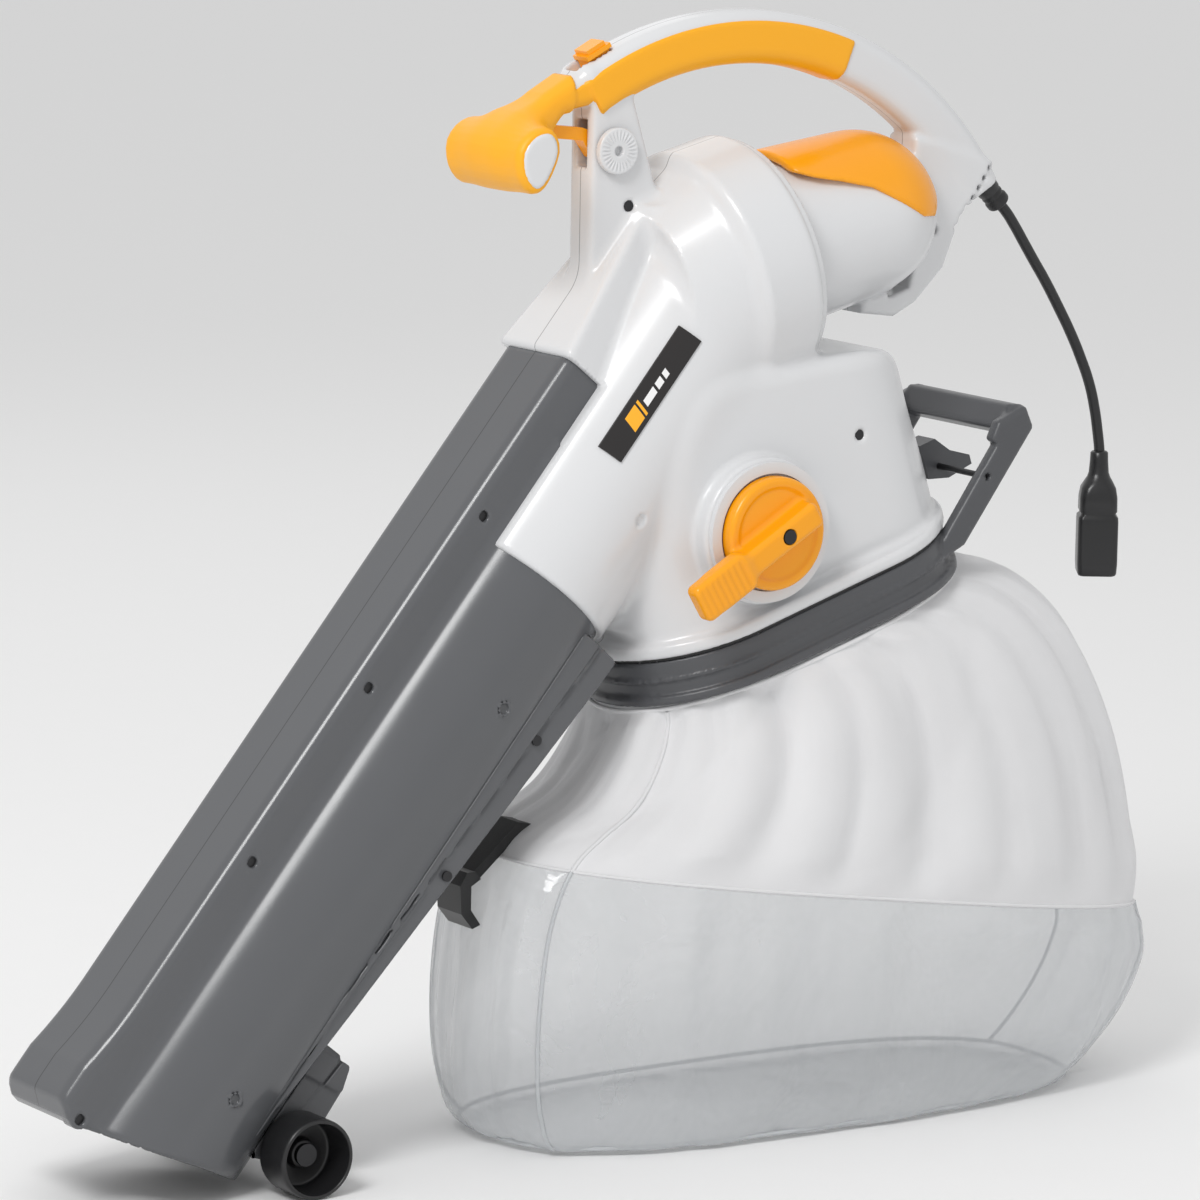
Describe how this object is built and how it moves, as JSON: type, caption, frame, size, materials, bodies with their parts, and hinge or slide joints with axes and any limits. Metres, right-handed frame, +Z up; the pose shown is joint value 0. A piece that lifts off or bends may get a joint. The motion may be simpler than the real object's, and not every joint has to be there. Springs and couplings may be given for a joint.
{
  "type": "leaf blower",
  "caption": "Electric blower-vacuum: slanted twin-duct nozzle tube on small wheels, fan and motor housing with arched handle, side selector knob, rear lead and a collecting bag.",
  "frame": {"origin": "on the floor, under the middle of the machine's bounding box", "axes": "+X to the rear, from nozzle to bag; +Y to the far side of the machine, away from the selector knob; +Z up"},
  "size_m": [0.8142, 0.203, 0.704],
  "materials": {
    "white_shell": "satin moulded",
    "grey_shell": "satin moulded",
    "dark_plastic": "moulded",
    "black_plastic": "satin moulded",
    "orange_plastic": "satin moulded",
    "orange_grip": "soft overmould",
    "label": "gloss film",
    "black_rubber": "satin",
    "tyre_black": "moulded",
    "steel": "zinc plated",
    "brass": "plain",
    "copper": "enamelled wire",
    "iron": "laminated",
    "carbon": "pressed carbon",
    "bag_fabric": "woven polyester",
    "clear_vinyl": "clear flexible sheet",
    "webbing": "woven"
  },
  "bodies": {
    "machine": {"housing_left": "white_shell", "housing_right": "white_shell", "tube_left": "grey_shell", "tube_right": "grey_shell", "tube_rail": "grey_shell", "tube_screws": "steel", "housing_screws": "steel", "motor_cover": "orange_plastic", "grip_left": "orange_grip", "grip_right": "orange_grip", "cross_grip": "orange_grip", "label_plate": "label", "knob_bezel": "white_shell", "intake_guard": "dark_plastic", "diffuser_plate": "dark_plastic", "stator_core": "iron", "field_coils": "copper", "brush_holders": "dark_plastic", "carbon_brushes": "carbon", "front_bearing": "steel", "rear_bearing": "steel", "switch_unit": "black_plastic", "capacitor": "black_plastic", "internal_lead": "black_rubber", "cord_clamp": "black_plastic", "strain_relief": "black_rubber", "cord": "black_rubber", "plug_body": "black_rubber", "plug_blades": "brass", "wheel_carriage": "grey_shell", "wheel_axle": "steel", "axle_screws": "steel", "lock_pin": "steel", "bag_seal": "black_rubber"},
    "rotor": {"motor_shaft": "steel", "armature_core": "iron", "armature_winding": "copper", "commutator": "copper", "cooling_fan": "dark_plastic", "impeller": "dark_plastic", "impeller_nut": "steel"},
    "selector": {"selector_knob": "orange_plastic", "selector_screw": "steel", "selector_shaft": "steel", "selector_flap": "dark_plastic"},
    "slider": {"power_slider": "orange_plastic"},
    "lock": {"lock_lever": "orange_plastic"},
    "wheel_near": {"wheel_left": "tyre_black"},
    "wheel_far": {"wheel_right": "tyre_black"},
    "bag": {"bag_frame": "grey_shell", "bag_handle": "grey_shell", "bag_cloth": "bag_fabric", "bag_window": "clear_vinyl", "bag_strap": "webbing", "strap_buckle": "black_plastic", "latch_pin": "steel"},
    "latch": {"bag_latch": "grey_shell"}
  },
  "joints": [
    {"name": "fan_spin", "type": "hinge", "parent": "machine", "child": "rotor", "pos_m": [0.0831, 0, 0.543], "axis": [0.9659, 0, 0.2588], "continuous": true},
    {"name": "selector_turn", "type": "hinge", "parent": "machine", "child": "selector", "pos_m": [0.0681, 0, 0.386], "axis": [0, 1, 0], "range_deg": [0, 60]},
    {"name": "power_slide", "type": "slide", "parent": "machine", "child": "slider", "axis": [-0.8829, 0, -0.4695], "range_m": [0, 0.008]},
    {"name": "lock_press", "type": "hinge", "parent": "machine", "child": "lock", "pos_m": [-0.0129, 0, 0.621], "axis": [0, 1, 0], "range_deg": [-8, 0], "stiffness_Nm_per_rad": 0.4, "springref_deg": 2.86},
    {"name": "wheel_near_spin", "type": "hinge", "parent": "machine", "child": "wheel_near", "pos_m": [-0.24995, 0, 0.02502], "axis": [0, 1, 0], "continuous": true},
    {"name": "wheel_far_spin", "type": "hinge", "parent": "machine", "child": "wheel_far", "pos_m": [-0.24995, 0, 0.02502], "axis": [0, 1, 0], "continuous": true},
    {"name": "bag_detach", "type": "slide", "parent": "machine", "child": "bag", "axis": [0.309, 0, -0.9511], "range_m": [0, 0.08]},
    {"name": "latch_lift", "type": "hinge", "parent": "bag", "child": "latch", "pos_m": [0.2501, 0, 0.406], "axis": [0, 1, 0], "range_deg": [0, 25], "stiffness_Nm_per_rad": 0.3, "springref_deg": -5.73}
  ]
}
